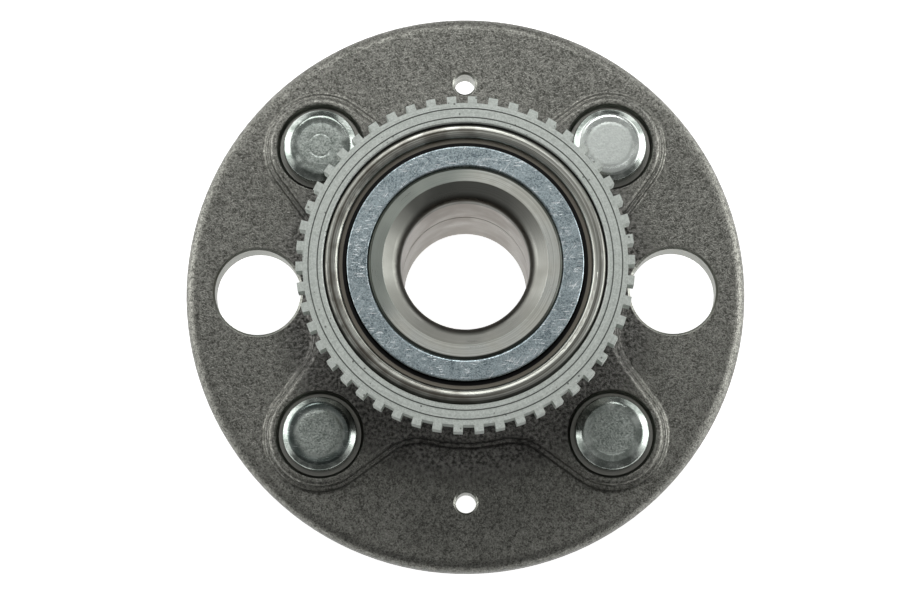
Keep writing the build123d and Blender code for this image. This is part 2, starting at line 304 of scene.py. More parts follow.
    def mask(self, tree: bpy.types.NodeTree, point: Socket, **inputs: object) -> Socket:
        """Return the mask of a node group at a point, in millimetres."""
        return self.group(tree, Point=point, **inputs).outputs["Mask"]

    def rings(
        self, lathe: bpy.types.NodeTree, place: dict[str, Socket], pitch: float
    ) -> dict[str, Socket]:
        """Return value and height of turned rings.

        Args:
            lathe: The group of turned rings.
            place: Outputs of the place group.
            pitch: Size of the rings, in millimetres.

        Returns:
            The outputs of the group, by name.
        """
        about = {name: place[name] for name in ("Radius", "Height", "Angle")}
        return self.group(lathe, Pitch=pitch, **about).outputs


def group_tree(name: str, inputs: dict[str, str], outputs: dict[str, str]) -> tuple[Graph, dict, dict]:
    """Start a shader node group.

    Args:
        name: Name of the group.
        inputs: Socket type of each named input.
        outputs: Socket type of each named output.

    Returns:
        The graph, the sockets that carry the inputs, and the sockets that take the outputs.
    """
    tree = bpy.data.node_groups.new(name, "ShaderNodeTree")
    for label, kind in inputs.items():
        tree.interface.new_socket(name=label, in_out="INPUT", socket_type="NodeSocket" + kind)
    for label, kind in outputs.items():
        tree.interface.new_socket(name=label, in_out="OUTPUT", socket_type="NodeSocket" + kind)
    graph = Graph(tree)
    start = {socket.name: socket for socket in graph.node("NodeGroupInput").outputs if socket.name}
    end = {socket.name: socket for socket in graph.node("NodeGroupOutput").inputs if socket.name}
    return graph, start, end


def clear_graph(owner: bpy.types.Material | bpy.types.World) -> Graph:
    """Give a material or world an empty node tree.

    Args:
        owner: The material or world.

    Returns:
        The graph of its tree.
    """
    owner.use_nodes = True
    owner.node_tree.nodes.clear()
    return Graph(owner.node_tree)


class Effects:
    """Shader node groups that several finishes share. Lengths inside them are in millimetres."""

    def __init__(self) -> None:
        """Build every group once."""
        self.place = self._place()
        self.grit = self._grit()
        self.lathe = self._lathe()
        self.scratches = self._scratches()
        self.stain = self._stain()
        self.specks = self._specks()

    def _place(self) -> bpy.types.NodeTree:
        """Make a group that gives the place in millimetres, and about the Z axis.

        Returns:
            The group's tree.
        """
        graph, start, end = group_tree(
            "place_about_axis",
            {"Coordinates": "Vector"},
            {"Point": "Vector", "Radius": "Float", "Height": "Float", "Angle": "Float"},
        )
        scale = graph.vector("SCALE", start["Coordinates"])
        scale.inputs["Scale"].default_value = 1 / MM
        x, y, height = graph.split(scale.outputs[0])
        square = graph.math("ADD", graph.times(x, x), graph.times(y, y))
        graph.feed(end["Point"], scale.outputs[0])
        graph.feed(end["Radius"], graph.math("SQRT", square))
        graph.feed(end["Height"], height)
        graph.feed(end["Angle"], graph.math("ARCTAN2", y, x))
        return graph.tree

    def _grit(self) -> bpy.types.NodeTree:
        """Make a group for a blasted skin: fine grains crossed by short raised threads.

        Returns:
            The group's tree.
        """
        graph, start, end = group_tree(
            "blasted_grit", {"Point": "Vector", "Grain": "Float"}, {"Value": "Float", "Height": "Float"}
        )
        coarse_share, thread_share, thread_w, thread_height = 0.35, 0.38, 0.085, 0.30
        fine_scale = graph.math("DIVIDE", 1.0, start["Grain"])
        fine = graph.noise(start["Point"], fine_scale, 2.0, 0.6)
        coarse = graph.noise(start["Point"], graph.times(fine_scale, 0.40), 1.5, 0.5)
        folds = graph.noise(start["Point"], graph.times(fine_scale, 0.62), 1.0, 0.5)
        away = graph.math("ABSOLUTE", graph.math("SUBTRACT", folds, 0.5))
        threads = graph.step(away, 0.0, thread_w, 1.0, 0.0)
        coarse = graph.times(coarse, coarse_share)
        grains = graph.math("ADD", graph.times(fine, 1.0 - coarse_share), coarse)
        graph.feed(end["Value"], graph.blend(thread_share, graph.step(grains, 0.36, 0.64), threads))
        graph.feed(end["Height"], graph.math("ADD", grains, graph.times(threads, thread_height)))
        return graph.tree

    def _lathe(self) -> bpy.types.NodeTree:
        """Make a group for turned surfaces: fine rings that wander a little round the axis.

        Returns:
            The group's tree.
        """
        graph, start, end = group_tree(
            "lathe_rings",
            {"Radius": "Float", "Height": "Float", "Angle": "Float", "Pitch": "Float"},
            {"Value": "Float", "Height": "Float"},
        )
        along = graph.math("ADD", start["Radius"], start["Height"])
        along = graph.math("DIVIDE", along, start["Pitch"])
        place = graph.node("CombineXYZ")
        graph.feed(place.inputs[0], along)
        graph.feed(place.inputs[1], graph.math("SINE", graph.times(start["Angle"], 0.5)))
        rings = graph.noise(place.outputs[0], 1.0, 3.0, 0.65)
        graph.feed(end["Value"], graph.step(rings, 0.32, 0.68))
        graph.feed(end["Height"], rings)
        return graph.tree

    def _scratches(self) -> bpy.types.NodeTree:
        """Make a group for short straight handling scratches, in three directions.

        Returns:
            The group's tree.
        """
        graph, start, end = group_tree(
            "handling_scratches", {"Point": "Vector", "Length": "Float"}, {"Mask": "Float"}
        )
        length_over_width = 16.0
        mask = 0.0
        for turn, seed in ((0.6, 3.1), (-0.9, 7.7), (1.9, 12.4)):
            mapping = graph.node("Mapping")
            graph.feed(mapping.inputs["Vector"], start["Point"])
            mapping.inputs["Location"].default_value = (seed, -seed, 0.0)
            mapping.inputs["Rotation"].default_value = (0.0, 0.0, turn)
            mapping.inputs["Scale"].default_value = (1.0, length_over_width, 1.0)
            scale = graph.math("DIVIDE", 1.0, start["Length"])
            lines = graph.noise(mapping.outputs[0], scale, 1.0, 0.4)
            patches = graph.noise(start["Point"], graph.times(scale, 1.3), 1.0, 0.5)
            line = graph.step(lines, 0.66, 0.73)
            mask = graph.math("MAXIMUM", mask, graph.times(line, graph.step(patches, 0.44, 0.58)))
        graph.feed(end["Mask"], mask)
        return graph.tree

    def _stain(self) -> bpy.types.NodeTree:
        """Make a group for large soft patches of handling and oil.

        Returns:
            The group's tree.
        """
        graph, start, end = group_tree(
            "soft_stain", {"Point": "Vector", "Size": "Float"}, {"Mask": "Float"}
        )
        blotch = graph.noise(start["Point"], graph.math("DIVIDE", 1.0, start["Size"]), 3.0, 0.55)
        graph.feed(end["Mask"], graph.step(blotch, 0.38, 0.66))
        return graph.tree

    def _specks(self) -> bpy.types.NodeTree:
        """Make a group for scattered small dots: one in several cells holds a dot.

        Returns:
            The group's tree.
        """
        graph, start, end = group_tree(
            "scattered_specks",
            {"Point": "Vector", "Spacing": "Float", "Share": "Float"},
            {"Mask": "Float"},
        )
        cells = graph.node("TexVoronoi", feature="F1")
        graph.feed(cells.inputs["Vector"], start["Point"])
        graph.feed(cells.inputs["Scale"], graph.math("DIVIDE", 1.0, start["Spacing"]))
        dot_r, dot_edge = 0.14, 0.24
        dot = graph.step(cells.outputs["Distance"], dot_r, dot_edge, 1.0, 0.0)
        pick = graph.node("SeparateColor")
        graph.feed(pick.inputs[0], cells.outputs["Color"])
        chosen = graph.math("LESS_THAN", pick.outputs[0], start["Share"])
        graph.feed(end["Mask"], graph.times(dot, chosen))
        return graph.tree


@dataclass(frozen=True)
class Finish:
    """A finish: its own values, and how they dress a material."""

    name: str

    def dress(self, effects: Effects) -> bpy.types.Material:
        """Build the material.

        Args:
            effects: The shared shader groups.

        Returns:
            The material.
        """
        material = bpy.data.materials.new(self.name)
        graph = clear_graph(material)
        shader = graph.node("BsdfPrincipled")
        output = graph.node("OutputMaterial")
        graph.feed(output.inputs["Surface"], shader.outputs[0])
        self.paint(graph, shader, effects)
        return material

    def paint(self, graph: Graph, shader: bpy.types.Node, effects: Effects) -> None:
        """Wire the finish into the shader.

        Args:
            graph: The material's graph.
            shader: The Principled node.
            effects: The shared shader groups.
        """
        raise NotImplementedError


def coat(
    graph: Graph,
    shader: bpy.types.Node,
    colour: Socket,
    rough: Socket,
    metal: object,
    height: Socket,
    relief: float,
) -> None:
    """Feed a finish into a Principled node.

    Args:
        graph: The material's graph.
        shader: The Principled node.
        colour: Its colour.
        rough: Its roughness.
        metal: How much of a metal it is.
        height: Its height, about 0 to 1.
        relief: How far a height of 1 stands up, in millimetres.
    """
    bump = graph.node("Bump")
    bump.inputs["Strength"].default_value = 1.0
    bump.inputs["Distance"].default_value = relief * MM
    graph.feed(bump.inputs["Height"], height)
    settings = {"Base Color": colour, "Roughness": rough, "Metallic": metal, "Normal": bump.outputs[0]}
    for name, value in settings.items():
        graph.feed(shader.inputs[name], value)


@dataclass(frozen=True)
class TurnedSteel(Finish):
    """Turned or ground bare steel with fine rings, stains and a few scratches."""

    light: Colour = srgb(230, 233, 227)
    dark: Colour = srgb(184, 187, 180)
    stain: Tint = Tint(srgb(142, 138, 124), 0.45)
    stain_size: float = 9.0
    scratch: Tint = Tint(srgb(220, 220, 216), 0.25)
    scratch_length: float = 5.0
    pitch: float = 0.22
    ring_depth: float = 0.004
    rough: float = 0.30
    rougher_rings: float = 0.08
    smoother_rings: float = 0.04
    rougher_stains: float = 0.16

    def wear_and_shade(self, graph: Graph, place: dict[str, Socket], base: Socket) -> Socket:
        """Return the colour as it is: a piece with places of its own changes it here."""
        return base

    def paint(self, graph: Graph, shader: bpy.types.Node, effects: Effects) -> None:
        """Wire rings, stains and scratches into the shader.

        Args:
            graph: The material's graph.
            shader: The Principled node.
            effects: The shared shader groups.
        """
        place = graph.place(effects.place)
        rings = graph.rings(effects.lathe, place, self.pitch)
        stain = graph.mask(effects.stain, place["Point"], Size=self.stain_size)
        scratch = graph.mask(effects.scratches, place["Point"], Length=self.scratch_length)
        base = graph.mix(rings["Value"], self.dark, self.light)
        base = graph.tint(stain, base, self.stain)
        base = graph.tint(scratch, base, self.scratch)
        low, high = self.rough - self.smoother_rings, self.rough + self.rougher_rings
        rough = graph.blend(rings["Value"], high, low)
        rough = graph.blend(stain, rough, self.rough + self.rougher_stains)
        coat(graph, shader, self.wear_and_shade(graph, place, base), rough, 1.0, rings["Height"], self.ring_depth)


@dataclass(frozen=True)
class SpindleRingSteel(TurnedSteel):
    """The inner rings' ground steel: warm bore, painted shade in the mouth and darker painted shade in
    its throat, dirty seam, darker towards the upper left side.
    """

    bore_r: float = 15.0
    mouth_r: float = 19.2
    mouth_z: float = 47.5
    throat_r: float = 16.6
    seam_r: float = 21.9
    side_lean: float = 0.55
    side_from: float = 6.0
    side_to: float = 16.0
    edge: float = 0.1
    mouth_edge: float = 0.08
    mouth_fade: float = 0.4
    throat_fade: tuple[float, float] = (0.8, 0.4)
    side: Tint = Tint(srgb(140, 147, 140), 0.85)
    bore: Tint = Tint(srgb(192, 182, 175), 0.8)
    # Painted shade: the colours of the mouth and, darker, of its throat.
    mouth: Tint = Tint(srgb(127, 127, 121), 0.85)
    throat: Tint = Tint(srgb(70, 69, 65), 0.7)
    seam: Tint = Tint(srgb(44, 47, 40), 0.9)

    def wear_and_shade(self, graph: Graph, place: dict[str, Socket], base: Socket) -> Socket:
        """Return the colour with the marks of each place, and with painted shade in the mouth and its
        throat.

        Args:
            graph: The material's graph.
            place: Outputs of the place group.
            base: The plain steel's colour.

        Returns:
            The colour with the places mixed in.
        """
        x, y, _ = graph.split(place["Point"])
        radius, height = place["Radius"], place["Height"]
        # The face is darker towards the upper left (-X, +Y) side.
        side = graph.math("SUBTRACT", graph.times(y, self.side_lean), x)
        side = graph.step(side, self.side_from, self.side_to)
        bore = graph.within(radius, self.bore_r + self.edge)
        # Painted shade: the mouth is darkened, and its throat next to the bore darker still, where
        # light falls off into the bore.
        inside = graph.within(radius, self.mouth_r, self.mouth_edge)
        mouth = graph.times(inside, graph.step(height, self.mouth_z, self.mouth_z + self.mouth_fade))
        below, above = self.throat_fade
        deep = graph.step(radius, self.throat_r - below, self.throat_r + above, 1.0, 0.0)
        throat = graph.times(graph.times(mouth, deep), graph.math("SUBTRACT", 1.0, bore))
        seam = graph.step(radius, self.seam_r - self.edge, self.seam_r + self.edge)
        for mask, tint in (
            (side, self.side),
            (bore, self.bore),
            (mouth, self.mouth),
            (throat, self.throat),
            (seam, self.seam),
        ):
            base = graph.tint(mask, base, tint)
        return base


@dataclass(frozen=True)
class ZincPlate(Finish):
    """Zinc plate: bluish spangled silver, bright at rims, with scratches."""

    light: Colour = srgb(206, 221, 225)
    dark: Colour = srgb(96, 110, 116)
    stain: Tint = Tint(srgb(206, 221, 225), 0.30)
    stain_size: float = 4.0
    scratch: Tint = Tint(srgb(250, 252, 252), 0.9)
    scratch_length: float = 3.0
    scratch_depth: float = 0.6
    long_length: float = 4.5
    long_turn: float = -0.95
    grain: float = 0.38
    rough: float = 0.26
    rough_dark: float = 0.38
    relief: float = 0.02

    def paint(self, graph: Graph, shader: bpy.types.Node, effects: Effects) -> None:
        """Wire spangle, stains and scratches into the shader.

        Args:
            graph: The material's graph.
            shader: The Principled node.
            effects: The shared shader groups.
        """
        point = graph.place(effects.place)["Point"]
        grit = graph.group(effects.grit, Point=point, Grain=self.grain).outputs
        stain = graph.mask(effects.stain, point, Size=self.stain_size)
        short = graph.mask(effects.scratches, point, Length=self.scratch_length)
        turned = graph.node("Mapping")
        turned.inputs["Rotation"].default_value = (0.0, 0.0, self.long_turn)
        graph.feed(turned.inputs["Vector"], point)
        long = graph.mask(effects.scratches, turned.outputs[0], Length=self.long_length)
        scratch = graph.math("MAXIMUM", short, graph.times(long, stain))
        base = graph.mix(grit["Value"], self.dark, self.light)
        base = graph.tint(scratch, graph.tint(stain, base, self.stain), self.scratch)
        rough = graph.blend(grit["Value"], self.rough_dark, self.rough)
        height = graph.math("SUBTRACT", grit["Height"], graph.times(scratch, self.scratch_depth))
        coat(graph, shader, base, rough, 1.0, height, self.relief)


@dataclass(frozen=True)
class StudZinc(Finish):
    """Zinc plate on a forged stud: smooth on the chamfer, pitted inside the head's face."""

    light: Colour = srgb(200, 207, 201)
    dark: Colour = srgb(122, 130, 124)
    # Painted highlight: the lighter colour of the upper right head's face.
    painted_highlight: Tint = Tint(srgb(246, 252, 247), 0.55)
    # Painted shade: the dark ring round the lower left head's dished face.
    dish_shade: Tint = Tint(srgb(66, 76, 74), 0.8)
    scratch: Tint = Tint(srgb(228, 232, 230), 0.5)
    scratch_length: float = 2.2
    stain_size: float = 3.5
    grain: float = 0.5
    stud_place: float = 35.3553
    pitted_r: float = 5.3
    pits_fade: tuple[float, float] = (0.6, 1.0)
    border_w: float = 1.3
    face_top: float = 15.2
    shank_top: float = 4.0
    shank_even: float = 0.75
    shank_shade: float = 0.7
    grit_share: float = 0.25
    smooth: float = 0.19
    smooth_stained: float = 0.29
    rough: float = 0.34
    relief: float = 0.05
    smooth_relief: float = 0.12
    upper_relief: float = 0.4

    def paint(self, graph: Graph, shader: bpy.types.Node, effects: Effects) -> None:
        """Wire pits, stains and scratches into the shader.

        Args:
            graph: The material's graph.
            shader: The Principled node.
            effects: The shared shader groups.
        """
        place = graph.place(effects.place)
        point, height = place["Point"], place["Height"]
        away = graph.away(point, self.stud_place, self.stud_place)
        inner, outer = self.pits_fade
        inside = graph.step(away, self.pitted_r - inner, self.pitted_r + outer, 1.0, 0.0)
        on_face = graph.step(height, self.face_top - 0.1, self.face_top)
        pitted = graph.times(inside, on_face)
        grit = graph.group(effects.grit, Point=point, Grain=self.grain).outputs
        stain = graph.mask(effects.stain, point, Size=self.stain_size)
        scratch = graph.mask(effects.scratches, point, Length=self.scratch_length)
        mottle = graph.blend(pitted, graph.blend(self.grit_share, stain, grit["Value"]), grit["Value"])
        shank = graph.step(height, self.shank_top - 1.0, self.shank_top, self.shank_even, 0.0)
        base = graph.mix(graph.blend(shank, mottle, self.shank_shade), self.dark, self.light)
        x, y, _ = graph.split(point)
        # Painted highlight: the upper right head's face is lightened where the lamps' reflection falls
        # on it.
        highlit_face = graph.times(graph.step(graph.math("MINIMUM", x, y), 0.0, 1.0), on_face)
        # Painted shade: a dark ring round the edge of the lower left head's dished face.
        border = graph.step(away, self.pitted_r, self.pitted_r + self.border_w)
        dull = graph.times(graph.step(graph.math("MAXIMUM", x, y), -1.0, 0.0, 1.0, 0.0), border)
        base = graph.tint(graph.times(dull, on_face), base, self.dish_shade)
        base = graph.tint(highlit_face, base, self.painted_highlight)
        base = graph.tint(scratch, base, self.scratch)
        rough = graph.blend(pitted, graph.blend(stain, self.smooth, self.smooth_stained), self.rough)
        pits = graph.step(y, -1.0, 1.0, 1.0, self.upper_relief)
        depth = graph.blend(pitted, self.smooth_relief, pits)
        coat(graph, shader, base, rough, 1.0, graph.times(grit["Height"], depth), self.relief)


@dataclass(frozen=True)
class PlainCoat(Finish):
    """A dull non-metal, rubber or moulded nylon, that can have a worn outer rim."""

    colour: Colour = srgb(24, 24, 24)
    worn: Tint = Tint(srgb(52, 52, 50), 0.5)
    stain_size: float = 5.0
    rough: float = 0.55
    rough_swing: float = 0.1
    grain: float = 0.5
    relief: float = 0.01
    gloss: float = 0.5
    rim_r: float = 100.0
    rim: Tint = Tint(srgb(122, 117, 107), 1.0)

    def paint(self, graph: Graph, shader: bpy.types.Node, effects: Effects) -> None:
        """Wire a fine grain and dull patches into the shader.

        Args:
            graph: The material's graph.
            shader: The Principled node.
            effects: The shared shader groups.
        """
        shader.inputs["Specular IOR Level"].default_value = self.gloss
        place = graph.place(effects.place)
        grit = graph.group(effects.grit, Point=place["Point"], Grain=self.grain).outputs
        stain = graph.mask(effects.stain, place["Point"], Size=self.stain_size)
        base = graph.tint(stain, self.colour, self.worn)
        outer = graph.step(place["Radius"], self.rim_r - 0.1, self.rim_r + 0.1)
        base = graph.tint(outer, base, self.rim)
        low, high = self.rough - self.rough_swing, self.rough + self.rough_swing
        rough = graph.blend(grit["Value"], low, high)
        coat(graph, shader, base, rough, 0.0, grit["Height"], self.relief)


@dataclass(frozen=True)
class SpeedRingCoat(Finish):
    """Dull pale grey-green zinc flake coat with dark specks and dirt in the turned lines."""

    light: Colour = srgb(212, 218, 212)
    dark: Colour = srgb(170, 176, 170)
    grain: float = 0.5
    pitch: float = 0.4
    ring_share: float = 0.35
    speck: Tint = Tint(srgb(74, 76, 72), 0.75)
    speck_spacing: float = 1.3
    speck_share: float = 0.16
    line: Tint = Tint(srgb(62, 66, 62), 0.8)
    line_floor: tuple[float, float] = (53.7, 54.12)
    line_radii: tuple[float, float] = (33.6, 37.4)
    metal: float = 0.55
    rough: float = 0.40
    rough_dark: float = 0.52
    relief: float = 0.015

    def paint(self, graph: Graph, shader: bpy.types.Node, effects: Effects) -> None:
        """Wire mottle, turned lines and specks into the shader.

        Args:
            graph: The material's graph.
            shader: The Principled node.
            effects: The shared shader groups.
        """
        place = graph.place(effects.place)
        grit = graph.group(effects.grit, Point=place["Point"], Grain=self.grain).outputs
        rings = graph.rings(effects.lathe, place, self.pitch)
        spread = {"Spacing": self.speck_spacing, "Share": self.speck_share}
        specks = graph.mask(effects.specks, place["Point"], **spread)
        value = graph.blend(self.ring_share, grit["Value"], rings["Value"])
        base = graph.tint(specks, graph.mix(value, self.dark, self.light), self.speck)
        floor = graph.window(place["Height"], *self.line_floor, 0.05)
        lines = graph.times(floor, graph.window(place["Radius"], *self.line_radii, 0.1))
        base = graph.tint(lines, base, self.line)
        rough = graph.blend(grit["Value"], self.rough_dark, self.rough)
        coat(graph, shader, base, rough, self.metal, grit["Height"], self.relief)


@dataclass(frozen=True)
class HubForging(Finish):
    """Blasted forging, with turned steel wherever the hub is machined."""

    light: Colour = srgb(158, 158, 151)
    dark: Colour = srgb(76, 76, 71)
    grain: float = 0.42
    stain_size: float = 14.0
    stain_share: float = 0.12
    # Forge scale near the barrel: its dark colours are partly the scale's own and partly painted shade
    # under the speed ring and barrel.
    scale_and_shade_light: Colour = srgb(127, 126, 122)
    scale_and_shade_dark: Colour = srgb(47, 47, 44)
    scale_reach: float = 50.0
    scale_full: float = 42.0
    scale_grain: float = 1.2
    scale_height: float = 4.0
    steel: Colour = srgb(204, 206, 198)
    steel_dark: Colour = srgb(124, 125, 117)
    pitch: float = 0.3
    ring_height: float = 0.1
    spotface_steel: Colour = srgb(146, 146, 140)
    end_z: float = 53.0
    seam_r: float = 32.1
    # Dark ring at the barrel end's outer edge: partly dirt in the seam, partly painted shade of an edge
    # chamfer that the shape lacks.
    seam: Tint = Tint(srgb(52, 51, 47), 0.85)
    groove_radii: tuple[float, float] = (31.0, 31.5)
    groove_dirt: Colour = srgb(66, 59, 50)
    groove_shares: tuple[float, float] = (0.35, 0.75)
    oil: Tint = Tint(srgb(86, 80, 72), 0.6)
    oil_size: float = 5.0
    oil_elsewhere: float = 0.15
    oiled_x: tuple[float, float] = (-6.0, 14.0)
    barrel_bore_r: float = 33.2
    stud_place: float = 35.3553
    spotface_r: float = 10.7
    spotface_z: float = 9.0
    access_place: float = 50.8
    access_r: float = 11.1
    screw_place: float = 51.75
    screw_r: float = 3.1
    skin_metal: float = 0.96
    skin_rough: float = 0.36
    skin_rough_dark: float = 0.46
    steel_rough: float = 0.34
    relief: float = 0.07

    def machined(self, graph: Graph, place: dict[str, Socket]) -> tuple[Socket, Socket]:
        """Return masks of the machined places.

        Args:
            graph: The material's graph.
            place: Outputs of the place group.

        Returns:
            1 where the hub is turned or bored, and 1 in the studs' spotfaces.
        """
        point, at = place["Point"], self.stud_place
        disc_face = graph.step(place["Height"], 0.02, 0.1, 1.0, 0.0)
        bored = graph.within(place["Radius"], self.barrel_bore_r + 0.1)
        turned = graph.math("MAXIMUM", disc_face, bored)
        for x, y, reach in (
            (self.access_place, 0.0, self.access_r),
            (0.0, self.screw_place, self.screw_r),
        ):
            turned = graph.math("MAXIMUM", turned, graph.within(graph.away(point, x, y), reach))
        spotface = graph.within(graph.away(point, at, at), self.spotface_r)
        above = graph.step(place["Height"], self.spotface_z, self.spotface_z + 0.2)
        return turned, graph.times(spotface, above)

    def oiled(self, graph: Graph, place: dict[str, Socket], effects: Effects, steel: Socket) -> Socket:
        """Return the turned steel's colour with its oil, the dirt in the groove at the barrel's end,
        and a dark ring at its outer edge that is partly dirt in the seam and partly painted shade.

        Args:
            graph: The material's graph.
            place: Outputs of the place group.
            effects: The shared shader groups.
            steel: Colour of the turned steel.

        Returns:
            The colour.
        """
        radius, height = place["Radius"], place["Height"]
        barrel_end = graph.step(height, self.end_z - 2.0, self.end_z - 1.0)
        oiled_side = graph.step(graph.split(place["Point"])[0], *self.oiled_x, 1.0, self.oil_elsewhere)
        oil = graph.mask(effects.stain, place["Point"], Size=self.oil_size)
        oil = graph.times(oil, graph.blend(barrel_end, self.oil_elsewhere, oiled_side))
        steel = graph.tint(oil, steel, self.oil)
        end_face = graph.step(height, self.end_z, self.end_z + 0.5)
        groove = graph.times(graph.window(radius, *self.groove_radii, 0.12), end_face)
        groove = graph.times(groove, graph.blend(oiled_side, *self.groove_shares))
        # Painted shade, partly seam dirt: a dark ring at the barrel end's outer edge stands in for the
        # shade of a missing edge chamfer.
        seam = graph.times(graph.step(radius, self.seam_r, self.seam_r + 0.3), end_face)
        return graph.tint(seam, graph.mix(groove, steel, self.groove_dirt), self.seam)

    def paint(self, graph: Graph, shader: bpy.types.Node, effects: Effects) -> None:
        """Wire the forged skin and the machined places into the shader.

        Args:
            graph: The material's graph.
            shader: The Principled node.
            effects: The shared shader groups.
        """
        place = graph.place(effects.place)
        turned, spotface = self.machined(graph, place)
        grit = graph.group(effects.grit, Point=place["Point"], Grain=self.grain).outputs
        stain = graph.mask(effects.stain, place["Point"], Size=self.stain_size)
        rings = graph.rings(effects.lathe, place, self.pitch)
        crust = graph.noise(place["Point"], self.scale_grain, 4.0, 0.72)
        # Within scale_reach the skin turns to coarse dark forge scale, partly the scale's own colour
        # and partly painted shade where the speed ring and barrel shade the flange.
        scale = graph.step(place["Radius"], self.scale_full, self.scale_reach, 1.0, 0.0)
        skin = graph.mix(grit["Value"], self.dark, self.light)
        skin = graph.mix(graph.times(stain, self.stain_share), skin, self.dark)
        scaly_and_shaded = graph.mix(graph.step(crust, 0.34, 0.68), self.scale_and_shade_dark, self.scale_and_shade_light)
        steel = graph.mix(rings["Value"], self.steel_dark, self.steel)
        steel = self.oiled(graph, place, effects, steel)
        base = graph.mix(turned, graph.mix(scale, skin, scaly_and_shaded), steel)
        base = graph.mix(spotface, base, self.spotface_steel)
        bare = graph.math("MAXIMUM", turned, spotface)
        metal = graph.blend(bare, self.skin_metal, 1.0)
        rough = graph.blend(grit["Value"], self.skin_rough_dark, self.skin_rough)
        rough = graph.blend(bare, rough, self.steel_rough)
        height = graph.blend(scale, grit["Height"], graph.times(crust, self.scale_height))
        height = graph.blend(bare, height, graph.times(rings["Height"], self.ring_height))
        coat(graph, shader, base, rough, metal, height, self.relief)


# ---------------------------------------------------------------- meshes


def mesh_object(
    name: str, points: np.ndarray, quads: np.ndarray, triangles: np.ndarray
) -> bpy.types.Object:
    """Put whole arrays into a mesh object.

    Args:
        name: Name of the piece.
        points: Points in metres, one row each.
        quads: Corner numbers of the four-sided faces.
        triangles: Corner numbers of the three-sided faces.

    Returns:
        The object, at the origin.
    """
    mesh = bpy.data.meshes.new(name)
    corners = np.concatenate([quads.ravel(), triangles.ravel()])
    counts = np.concatenate([np.full(len(quads), 4), np.full(len(triangles), 3)])
    mesh.vertices.add(len(points))
    mesh.vertices.foreach_set("co", points.astype(np.float32).ravel())
    mesh.loops.add(len(corners))
    mesh.loops.foreach_set("vertex_index", corners.astype(np.int32))
    mesh.polygons.add(len(counts))
    mesh.polygons.foreach_set("loop_start", (np.cumsum(counts) - counts).astype(np.int32))
    mesh.polygons.foreach_set("use_smooth", np.ones(len(counts), dtype=bool))
    mesh.update(calc_edges=True)
    mesh.validate()
    piece = bpy.data.objects.new(name, mesh)
    bpy.context.scene.collection.objects.link(piece)
    return piece


def lathe_faces(rows: int, columns: int) -> tuple[np.ndarray, np.ndarray]:
    """Faces of a closed turned shape: rows of a grid, with a single point at each end.

    The grid's point (i, j) has number i * columns + j, and the two end points follow the grid.

    Args:
        rows: Rows of the grid, from the lower end up.
        columns: Points round the axis.

    Returns:
        The four-sided and the three-sided faces, facing outwards.
    """
    row = np.arange(rows - 1)[:, None] * columns
    column = np.arange(columns)[None, :]
    ahead = (column + 1) % columns
    above = row + columns
    quads = np.stack([row + column, row + ahead, above + ahead, above + column], axis=-1)
    ring = np.arange(columns)
    following = (ring + 1) % columns
    top = (rows - 1) * columns
    low = np.stack([np.full(columns, rows * columns), following, ring], axis=-1)
    high = np.stack([np.full(columns, rows * columns + 1), top + ring, top + following], axis=-1)
    return quads.reshape(-1, 4), np.concatenate([low, high])


def run(radius: np.ndarray | float, height: np.ndarray | float) -> np.ndarray:
    """Return the points of a section's run, where either value may be the same all along."""
    return np.stack(np.broadcast_arrays(radius, height), axis=1)


@dataclass(frozen=True)
class RingDip:
    """A ring-shaped dip: radius of its middle, width and depth, in millimetres."""

    middle: float
    width: float
    depth: float

    def at(self, radius: np.ndarray) -> np.ndarray:
        """Return the depth at a radius, a bell curve of the distance from the middle."""
        return self.depth * np.exp(-(((radius - self.middle) / self.width) ** 2))


class HeadMark(Enum):
    """What the forging die left on a stud's head: each mark's ring-shaped dips."""

    RING = (RingDip(5.6, 0.6, 0.03), RingDip(2.8, 0.25, 0.035))
    PITS = (RingDip(5.9, 0.7, 0.10),)
    STEP = (RingDip(2.0, 0.3, 0.02),)
    FLAT = (RingDip(5.6, 0.4, 0.03),)


